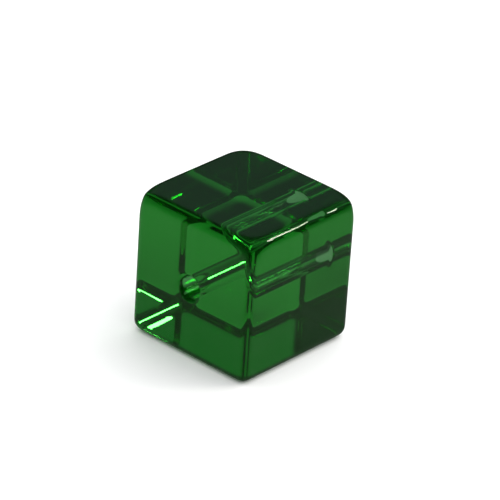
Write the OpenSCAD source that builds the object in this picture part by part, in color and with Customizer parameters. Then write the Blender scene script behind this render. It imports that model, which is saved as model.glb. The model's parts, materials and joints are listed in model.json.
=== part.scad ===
// Cube bead: one solid block of transparent green glass, pierced by a single stringing bore.
// The origin is the centre of the cube. The bore runs along Y through the centre, and +Z is up.

/* [Body] */
// Length of the cube's sides
side = 10; // [8:0.5:16]
// Radius of the twelve polished edges
edge_r = 0.7; // [0.3:0.05:1.2]
// How far each corner is taken back towards the centre, beyond the rounded edges
corner_wear = 0.2; // [0.1:0.05:0.8]

/* [Bore] */
// Diameter of the stringing bore
bore_d = 1.5; // [1:0.1:2.5]
// Radius of the rounded lip at each mouth of the bore
lip_r = 0.3; // [0.1:0.05:0.4]

/* [Hidden] */
$fn = 96;
glass_green = [0.05, 0.42, 0.12, 0.6];
half = side / 2;
bore_r = bore_d / 2;
// Distance from the centre to the corner of three crossed rounded bars, where their fillets meet.
fillet_corner = sqrt(3) * (half - edge_r * (1 - 1 / sqrt(2)));
corner_reach = fillet_corner - corner_wear;
overlap = 1;

// A square with true arcs at its corners, centred on the origin.
module rounded_square(size, r) {
    square([size, size - 2 * r], center = true);
    square([size - 2 * r, size], center = true);
    for (x = [-1, 1], y = [-1, 1])
        translate([x, y] * (size / 2 - r))
            circle(r);
}

// A bar of that section along Z, as long as the cube is wide.
module rounded_bar() {
    linear_extrude(height = side, center = true)
        rounded_square(side, edge_r);
}

// The bars along X, Y and Z have only the rounded cube in common, and the ball takes its corners down.
module blank() {
    intersection() {
        rounded_bar();
        rotate([90, 0, 0]) rounded_bar();
        rotate([0, 90, 0]) rounded_bar();
        sphere(corner_reach);
    }
}

// The waste of one flared mouth: a disc whose rim is scooped out by the rounded lip.
module mouth_waste() {
    rotate_extrude()
        difference() {
            square([bore_r + lip_r, lip_r + overlap]);
            translate([bore_r + lip_r, 0]) circle(lip_r);
        }
}

module bore_waste() {
    rotate([90, 0, 0]) {
        cylinder(h = side + 2 * overlap, r = bore_r, center = true);
        for (end = [0, 1])
            mirror([0, 0, end])
                translate([0, 0, half - lip_r]) mouth_waste();
    }
}

module bead() {
    color(glass_green)
        difference() {
            blank();
            bore_waste();
        }
}

bead();
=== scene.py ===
"""Green glass cube bead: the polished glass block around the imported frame, its material and its stage."""
import json
import math

import bpy
from mathutils import Matrix, Vector, noise

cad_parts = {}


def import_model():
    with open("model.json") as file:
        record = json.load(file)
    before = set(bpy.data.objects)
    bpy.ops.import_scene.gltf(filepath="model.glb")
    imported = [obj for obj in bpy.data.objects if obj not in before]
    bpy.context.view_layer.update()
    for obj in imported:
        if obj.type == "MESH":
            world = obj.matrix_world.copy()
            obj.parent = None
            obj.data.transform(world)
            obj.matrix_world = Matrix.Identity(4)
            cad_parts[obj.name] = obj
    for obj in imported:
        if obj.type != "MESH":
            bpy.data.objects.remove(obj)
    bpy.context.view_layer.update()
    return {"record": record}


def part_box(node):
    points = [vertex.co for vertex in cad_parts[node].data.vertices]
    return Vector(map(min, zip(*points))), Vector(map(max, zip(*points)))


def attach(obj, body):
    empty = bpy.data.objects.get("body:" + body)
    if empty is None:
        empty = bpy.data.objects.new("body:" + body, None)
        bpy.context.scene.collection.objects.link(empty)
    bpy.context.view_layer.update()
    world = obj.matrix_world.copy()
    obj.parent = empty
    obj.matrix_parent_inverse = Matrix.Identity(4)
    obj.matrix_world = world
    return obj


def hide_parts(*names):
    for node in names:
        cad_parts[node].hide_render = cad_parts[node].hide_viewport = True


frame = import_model()

# ---- Sizes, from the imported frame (metres) ----
low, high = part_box("bead")
HALF = (high[0] - low[0]) / 2
FLOOR_Z = low[2]
BORE = next(m for m in frame["record"]["mounts"] if m["name"] == "stringing_bore")["dims"]
BORE_R = BORE["r_mm"] / 1000
LIP_R = HALF - BORE["length_mm"] / 2000

# ---- Shape of the glass ----
# Edge radii. The upright edge at (+X, -Y) is the near one and is crisp; the one across from it is worn.
CRISP_UPRIGHT_R = 0.11 * HALF
WORN_UPRIGHT_R = 0.17 * HALF
NEAR_TOP_R = 0.15 * HALF
FAR_TOP_R = 0.11 * HALF
BOTTOM_EDGE_R = 0.15 * HALF
# How far from the centre the worn corners are, at the top and at the bottom.
TOP_CORNER_REACH = 1.61 * HALF
BOTTOM_CORNER_REACH = 1.69 * HALF
# Where the edges change from one radius to the other. Nearness is -1 at the far upright edge and 1 at the
# near one, and height is -1 at the bottom face and 1 at the top one.
UPRIGHT_SPAN = (-0.4, 0.8)
TOP_SPAN = (-0.3, 0.3)
HEIGHT_SPAN = (-0.6, 0.6)
# How softly the worn corners run into the faces and edges.
CORNER_BLEND = 0.12 * HALF
# Depth and width of the faint waves that polishing leaves in the faces.
WAVE_DEPTH = 0.0012 * HALF
WAVE_LENGTH = 0.9 * HALF
# Grooves that drilling has left along the bore's wall: depth, and how many there are round it.
GROOVE_DEPTH = 0.006 * BORE_R
GROOVE_COUNT = 9
# Core cube that the surface is fanned out from, so that the mesh lines bend round the edges.
CORE = 0.7 * HALF
# Grid lines from the middle of a face to its edge: (end of the stretch, cells in it).
FACE_STRETCHES = ((0.70, 12), (0.90, 6), (1.00, 12))
# The same, from the bore's mouth out to the edge of a drilled face.
DRILLED_STRETCHES = ((0.62, 12), (0.87, 6), (1.00, 12))
# Grid cells round the curve of each lip, and along the straight wall between the lips.
LIP_CELLS = 8
WALL_CELLS = 40
# Steps by which a point of the block's surface is closed in on; each halves what is left of its line.
HALVINGS = 30
# Points closer than one part in this many of a metre are the same point.
MERGE_PARTS = 1e8


# ---- The glass block ----
def stretches(pairs):
    """Grid positions from 0 to 1, with as many cells in each stretch as it says."""
    positions = [0.0]
    for end, cells in pairs:
        start = positions[-1]
        positions += [start + (end - start) * (i + 1) / cells for i in range(cells)]
    return positions


def smooth_mix(start, end, value, span):
    """From start to end while the value crosses the span, with no kink at either end."""
    t = (value - span[0]) / (span[1] - span[0])
    t = max(0.0, min(1.0, t))
    return start + (end - start) * t * t * (3 - 2 * t)


def rounded_max(a, b, radius):
    """The larger of two distances, with the corner between their surfaces rounded."""
    return math.hypot(max(a + radius, 0.0), max(b + radius, 0.0)) + min(max(a, b) + radius, 0.0) - radius


def block_distance(point):
    """How far a point is outside the worn block: a rounded cube whose corners a ball takes down."""
    nearness = (point.x - point.y) / (2 * HALF)
    height = point.z / HALF
    upright_r = smooth_mix(WORN_UPRIGHT_R, CRISP_UPRIGHT_R, nearness, UPRIGHT_SPAN)
    top_r = smooth_mix(FAR_TOP_R, NEAR_TOP_R, nearness, TOP_SPAN)
    level_r = smooth_mix(BOTTOM_EDGE_R, top_r, height, HEIGHT_SPAN)
    reach = smooth_mix(BOTTOM_CORNER_REACH, TOP_CORNER_REACH, height, HEIGHT_SPAN)
    walls = rounded_max(abs(point.x) - HALF, abs(point.y) - HALF, upright_r)
    rounded = rounded_max(walls, abs(point.z) - HALF, level_r)
    ball = point.length - reach
    blend = max(CORNER_BLEND - abs(rounded - ball), 0.0) / CORNER_BLEND
    return max(rounded, ball) + blend * blend * CORNER_BLEND / 4


def on_block(point):
    """Moves a point of the sharp cube along its fan line until it is on the worn block's surface."""
    core = Vector([max(-CORE, min(CORE, c)) for c in point])
    line = point - core
    near, far = 0.0, 1.0
    for _ in range(HALVINGS):
        middle = (near + far) / 2
        if block_distance(core + line * middle) > 0:
            far = middle
        else:
            near = middle
    return core + line * far


def wave(point):
    """Height of the polishing waves at a point of the surface."""
    return WAVE_DEPTH * noise.noise(point / WAVE_LENGTH)


def to_axis(axis, side, a, b):
    """The point at a, b on the sharp cube's face that looks along one axis."""
    point = Vector((0, 0, 0))
    point[axis] = side * HALF
    point[(axis + 1) % 3] = a
    point[(axis + 2) % 3] = b
    return point


class Surface:
    """Collects points and quads, with points that fall together shared by their faces."""

    def __init__(self):
        self.points = []
        self.quads = []
        self.index = {}

    def point(self, where):
        key = tuple(round(c * MERGE_PARTS) for c in where)
        if key not in self.index:
            self.index[key] = len(self.points)
            self.points.append(where)
        return self.index[key]

    def sheet(self, rows, outward):
        """A sheet of quads over a grid of points, each quad turned so that outward(centre) is its front."""
        grid = [[self.point(p) for p in row] for row in rows]
        for i in range(len(grid) - 1):
            for j in range(len(grid[0]) - 1):
                quad = [grid[i][j], grid[i + 1][j], grid[i + 1][j + 1], grid[i][j + 1]]
                a, b, c, d = (self.points[k] for k in quad)
                if (c - a).cross(d - b).dot(outward((a + c) / 2)) < 0:
                    quad.reverse()
                self.quads.append(quad)


def plain_face(surface, axis, side):
    half_lines = stretches(FACE_STRETCHES)
    lines = [-t * HALF for t in reversed(half_lines[1:])] + [t * HALF for t in half_lines]
    rows = [[on_block(to_axis(axis, side, a, b)) for b in lines] for a in lines]
    surface.sheet(rows, lambda centre: centre)


def square_outline():
    """The outline of a face as x, z pairs, at the same places as the grid lines of its neighbours."""
    half_lines = stretches(FACE_STRETCHES)
    lines = [-t for t in reversed(half_lines[1:])] + half_lines
    outline = []
    for turn in range(4):
        angle = turn * math.pi / 2
        c, s = round(math.cos(angle)), round(math.sin(angle))
        outline += [(c - t * s, s + t * c) for t in lines[:-1]]
    return outline + outline[:1]


def drilled_face(surface, side):
    """A face with the bore's mouth in it: rings that turn from the mouth's circle into the square."""
    mouth_r = BORE_R + LIP_R
    rows = []
    for t in stretches(DRILLED_STRETCHES):
        row = []
        for x, z in square_outline():
            reach = math.hypot(x, z)
            mouth = Vector((x, 0, z)) * mouth_r / reach
            edge = Vector((x, 0, z)) * HALF
            place = mouth.lerp(edge, t)
            place.y = side * HALF
            row.append(on_block(place))
        rows.append(row)
    surface.sheet(rows, lambda centre: centre)


def bore_profile():
    """Radius and height of the bore's wall from mouth to mouth, with a rolled lip at each end."""
    lip = []
    for i in range(LIP_CELLS + 1):
        angle = math.pi / 2 * i / LIP_CELLS
        lip.append((BORE_R + LIP_R * (1 - math.sin(angle)), HALF - LIP_R * (1 - math.cos(angle))))
    straight = HALF - LIP_R
    wall = [(BORE_R, straight * (1 - 2 * i / WALL_CELLS)) for i in range(1, WALL_CELLS)]
    return lip + wall + [(r, -y) for r, y in reversed(lip)]


def groove(across, y):
    """Depth of the drilling grooves at a direction across the bore; they drift a little along it."""
    place = Vector((across.x * GROOVE_COUNT, across.z * GROOVE_COUNT, y / HALF))
    return GROOVE_DEPTH * noise.noise(place / 2)


def bore_wall(surface):
    rows = []
    for r, y in bore_profile():
        row = []
        for x, z in square_outline():
            reach = math.hypot(x, z)
            across = Vector((x, 0, z)) / reach
            depth = groove(across, y) * min(1.0, (HALF - abs(y)) / LIP_R)
            row.append(across * (r + depth) + Vector((0, y, 0)))
        rows.append(row)
    surface.sheet(rows, lambda centre: Vector((-centre.x, 0, -centre.z)))


def glass_block():
    surface = Surface()
    for axis in (0, 2):
        for side in (-1, 1):
            plain_face(surface, axis, side)
    for side in (-1, 1):
        drilled_face(surface, side)
    bore_wall(surface)
    mesh = bpy.data.meshes.new("glass_block")
    mesh.from_pydata(surface.points, [], surface.quads)
    mesh.validate()
    mesh.shade_smooth()
    normals = [v.normal.copy() for v in mesh.vertices]
    for vertex, normal in zip(mesh.vertices, normals):
        vertex.co += normal * (wave(vertex.co) - WAVE_DEPTH)
    block = bpy.data.objects.new("glass_block", mesh)
    bpy.context.collection.objects.link(block)
    return block


# ---- Green glass ----
# What one metre of the glass takes out of red, green and blue light, as a rate of decay.
ABSORPTION = (265.0, 28.0, 235.0)
GLASS_IOR = 1.48
# The drilled wall is left less polished than the outside.
WALL_ROUGHNESS = 0.09


def node_tree(owner):
    owner.use_nodes = True
    owner.node_tree.nodes.clear()
    return owner.node_tree.nodes, owner.node_tree.links


def math_node(nodes, links, operation, *values):
    """A Math node whose inputs are numbers or other nodes' outputs."""
    node = nodes.new("ShaderNodeMath")
    node.operation = operation
    for socket, value in zip(node.inputs, values):
        if isinstance(value, (int, float)):
            socket.default_value = value
        else:
            links.new(value, socket)
    return node.outputs[0]


def map_range(nodes, links, value, source, target):
    node = nodes.new("ShaderNodeMapRange")
    node.interpolation_type = "SMOOTHSTEP"
    for name, number in zip(("From Min", "From Max", "To Min", "To Max"), source + target):
        node.inputs[name].default_value = number
    links.new(value, node.inputs["Value"])
    return node.outputs["Result"]


def wall_roughness(nodes, links):
    """Roughness that is zero outside and rises on the bore's wall, between the polished lips."""
    place = nodes.new("ShaderNodeTexCoord")
    split = nodes.new("ShaderNodeSeparateXYZ")
    links.new(place.outputs["Object"], split.inputs[0])
    squares = [math_node(nodes, links, "MULTIPLY", split.outputs[c], split.outputs[c]) for c in "XZ"]
    reach = math_node(nodes, links, "SQRT", math_node(nodes, links, "ADD", *squares))
    fade = nodes.new("ShaderNodeMapRange")
    fade.inputs["From Min"].default_value = BORE_R + 0.1 * LIP_R
    fade.inputs["From Max"].default_value = BORE_R + 0.5 * LIP_R
    fade.inputs["To Min"].default_value = WALL_ROUGHNESS
    fade.inputs["To Max"].default_value = 0.0
    links.new(reach, fade.inputs["Value"])
    return fade.outputs["Result"]


def green_glass():
    material = bpy.data.materials.new("green_glass")
    nodes, links = node_tree(material)
    output = nodes.new("ShaderNodeOutputMaterial")
    glass = nodes.new("ShaderNodeBsdfPrincipled")
    glass.inputs["Base Color"].default_value = (1, 1, 1, 1)
    glass.inputs["Transmission Weight"].default_value = 1
    glass.inputs["IOR"].default_value = GLASS_IOR
    links.new(wall_roughness(nodes, links), glass.inputs["Roughness"])
    absorption = nodes.new("ShaderNodeVolumeAbsorption")
    density = max(ABSORPTION) * 1.02
    absorption.inputs["Density"].default_value = density
    absorption.inputs["Color"].default_value = (*[1 - a / density for a in ABSORPTION], 1)
    links.new(glass.outputs["BSDF"], output.inputs["Surface"])
    links.new(absorption.outputs["Volume"], output.inputs["Volume"])
    return material


# ---- Stage ----
def towards(azimuth, elevation):
    """Unit vector at an azimuth, from +Y towards +X, and an elevation above the floor, in degrees."""
    a, e = math.radians(azimuth), math.radians(elevation)
    return Vector((math.sin(a) * math.cos(e), math.cos(a) * math.cos(e), math.sin(e)))


def softbox(name, azimuth, elevation, width, height, radiance, roll=0, distance=0.6):
    """A flat light that faces the bead; width, height and the roll about its middle are in degrees."""
    data = bpy.data.lights.new(name, "AREA")
    data.shape = "RECTANGLE"
    data.size = 2 * distance * math.tan(math.radians(width / 2))
    data.size_y = 2 * distance * math.tan(math.radians(height / 2))
    data.energy = radiance * math.pi * data.size * data.size_y
    lamp = bpy.data.objects.new(name, data)
    direction = towards(azimuth, elevation)
    lamp.location = direction * distance
    facing = direction.to_track_quat("Z", "Y").to_matrix()
    lamp.rotation_euler = (facing @ Matrix.Rotation(math.radians(roll), 3, "Z")).to_euler()
    lamp.visible_camera = False
    bpy.context.collection.objects.link(lamp)
    return lamp


# Side of the square floor, in metres.
FLOOR_SIDE = 3.0
# The bead floats this far above the floor, as a real one does on the high spots of its base.
FLOOR_GAP = 0.004 * HALF
SEEN_FLOOR_COLOR = (0.97, 0.97, 0.97, 1)
# Painted light: a glow that the floor gives off towards the glass, even under the bead where the lamps
# don't reach.
PAINTED_FLOOR_GLOW = 0.02


# Painted pool of light: seen through the glass, the floor's colour is full near the bead and dim further
# out.
PAINTED_POOL_REACH = (4.5 * HALF, 11 * HALF)
PAINTED_POOL_ALBEDO = (0.15, 0.03)


def floor():
    material = bpy.data.materials.new("studio_floor")
    nodes, links = node_tree(material)
    output = nodes.new("ShaderNodeOutputMaterial")
    seen = nodes.new("ShaderNodeBsdfDiffuse")
    seen.inputs["Color"].default_value = SEEN_FLOOR_COLOR
    through_glass = nodes.new("ShaderNodeBsdfDiffuse")
    place = nodes.new("ShaderNodeTexCoord")
    from_bead = nodes.new("ShaderNodeVectorMath")
    from_bead.operation = "LENGTH"
    links.new(place.outputs["Object"], from_bead.inputs[0])
    painted_pool_albedo = map_range(nodes, links, from_bead.outputs["Value"], PAINTED_POOL_REACH, PAINTED_POOL_ALBEDO)
    links.new(painted_pool_albedo, through_glass.inputs["Color"])
    # Painted shade: rays from the camera see the pale floor, and all other rays see a darker copy of it,
    # with the painted pool of light and the painted glow.
    path = nodes.new("ShaderNodeLightPath")
    mix = nodes.new("ShaderNodeMixShader")
    painted_glow = nodes.new("ShaderNodeEmission")
    painted_glow.inputs["Strength"].default_value = PAINTED_FLOOR_GLOW
    both = nodes.new("ShaderNodeAddShader")
    links.new(through_glass.outputs["BSDF"], both.inputs[0])
    links.new(painted_glow.outputs["Emission"], both.inputs[1])
    links.new(path.outputs["Is Camera Ray"], mix.inputs["Fac"])
    links.new(both.outputs["Shader"], mix.inputs[1])
    links.new(seen.outputs["BSDF"], mix.inputs[2])
    links.new(mix.outputs["Shader"], output.inputs["Surface"])
    mesh = bpy.data.meshes.new("floor")
    s = FLOOR_SIDE / 2
    z = FLOOR_Z - FLOOR_GAP
    mesh.from_pydata([(-s, -s, z), (s, -s, z), (s, s, z), (-s, s, z)], [], [(0, 1, 2, 3)])
    mesh.materials.append(material)
    plane = bpy.data.objects.new("floor", mesh)
    bpy.context.collection.objects.link(plane)


# The dim room is palest behind the bead, at about the height of the camera. It is darker overhead, on
# the camera's side and down at the horizon, where a dark band runs behind the floor.
# Radiance of the wall at its palest and of the rest of the room.
WALL_RADIANCE = 0.15
ROOM_RADIANCE = 0.035
# Shares of the wall's radiance that are left overhead and in the dark band.
OVERHEAD_SHARE = 0.35
HORIZON_SHARE = 0.08
# Where one part of the room fades into the next, along Y for the side behind the bead and along Z above.
BEHIND_SPAN = (-0.1, 0.5)
OVERHEAD_SPAN = (0.5, 0.8)
HORIZON_SPAN = (0.30, 0.46)
ROOM_COLOR = (0.8, 0.95, 1.0, 1)


def world():
    data = bpy.data.worlds.new("studio")
    bpy.context.scene.world = data
    nodes, links = node_tree(data)
    output = nodes.new("ShaderNodeOutputWorld")
    place = nodes.new("ShaderNodeTexCoord")
    split = nodes.new("ShaderNodeSeparateXYZ")
    links.new(place.outputs["Generated"], split.inputs[0])
    behind = map_range(nodes, links, split.outputs["Y"], BEHIND_SPAN, (0.0, 1.0))
    below_ceiling = map_range(nodes, links, split.outputs["Z"], OVERHEAD_SPAN, (1.0, OVERHEAD_SHARE))
    above_band = map_range(nodes, links, split.outputs["Z"], HORIZON_SPAN, (HORIZON_SHARE, 1.0))
    by_height = math_node(nodes, links, "MULTIPLY", below_ceiling, above_band)
    wall = math_node(nodes, links, "MULTIPLY", behind, by_height)
    strength = map_range(nodes, links, wall, (0.0, 1.0), (ROOM_RADIANCE, WALL_RADIANCE))
    room = nodes.new("ShaderNodeBackground")
    room.inputs["Color"].default_value = ROOM_COLOR
    backdrop = nodes.new("ShaderNodeBackground")
    backdrop.inputs["Color"].default_value = (1, 1, 1, 1)
    path = nodes.new("ShaderNodeLightPath")
    mix = nodes.new("ShaderNodeMixShader")
    links.new(strength, room.inputs["Strength"])
    links.new(path.outputs["Is Camera Ray"], mix.inputs["Fac"])
    links.new(room.outputs["Background"], mix.inputs[1])
    links.new(backdrop.outputs["Background"], mix.inputs[2])
    links.new(mix.outputs["Shader"], output.inputs["Surface"])


# The window's light is slightly warm.
WINDOW_COLOR = (1.0, 0.95, 0.80)


def lights():
    window = softbox("window", 39.5, 35.3, 10, 6.5, 16.0, roll=53)
    window.data.color = WINDOW_COLOR
    for fill in (softbox("overhead", 20, 75, 140, 140, 1.35), softbox("key", 25, 50, 40, 40, 1.6)):
        fill.visible_glossy = False
        fill.visible_transmission = False


# ---- Camera ----
CAMERA_AZIMUTH = 41.0
CAMERA_ELEVATION = 28.5
CAMERA_ROLL = 3.8
CAMERA_DISTANCE = 48.5 * HALF
CAMERA_LENS = 275.8
# Where the camera aims, right of and above the middle of the bead.
AIM_RIGHT = 0.080 * HALF
AIM_UP = 0.168 * HALF


def camera():
    data = bpy.data.cameras.new("camera")
    data.lens = CAMERA_LENS
    data.sensor_width = 36
    data.clip_start = 0.001
    data.clip_end = 20
    cam = bpy.data.objects.new("camera", data)
    bpy.context.collection.objects.link(cam)
    a, e, r = (math.radians(v) for v in (CAMERA_AZIMUTH, CAMERA_ELEVATION, CAMERA_ROLL))
    back = Vector((math.sin(a) * math.cos(e), -math.cos(a) * math.cos(e), math.sin(e)))
    level_right = Vector((math.cos(a), math.sin(a), 0))
    level_up = back.cross(level_right)
    right = level_right * math.cos(r) + level_up * math.sin(r)
    up = level_up * math.cos(r) - level_right * math.sin(r)
    target = right * AIM_RIGHT + up * AIM_UP
    cam.location = back * CAMERA_DISTANCE
    out = (cam.location - target).normalized()
    side = up.cross(out).normalized()
    top = out.cross(side)
    cam.matrix_world = matrix_from(side, top, out, cam.location)
    bpy.context.scene.camera = cam


def matrix_from(x, y, z, origin):
    matrix = Matrix((x, y, z)).transposed().to_4x4()
    matrix.translation = origin
    return matrix


camera()
block = glass_block()
block.data.materials.append(green_glass())
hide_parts("bead")
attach(block, "root")
floor()
world()
lights()

# Enough for light that bounces many times inside the glass.
LIGHT_BOUNCES = 32
INDIRECT_CLAMP = 20

scene = bpy.context.scene
scene.view_settings.view_transform = "Standard"
scene.cycles.max_bounces = LIGHT_BOUNCES
scene.cycles.transmission_bounces = LIGHT_BOUNCES
scene.cycles.glossy_bounces = LIGHT_BOUNCES
scene.cycles.sample_clamp_indirect = INDIRECT_CLAMP
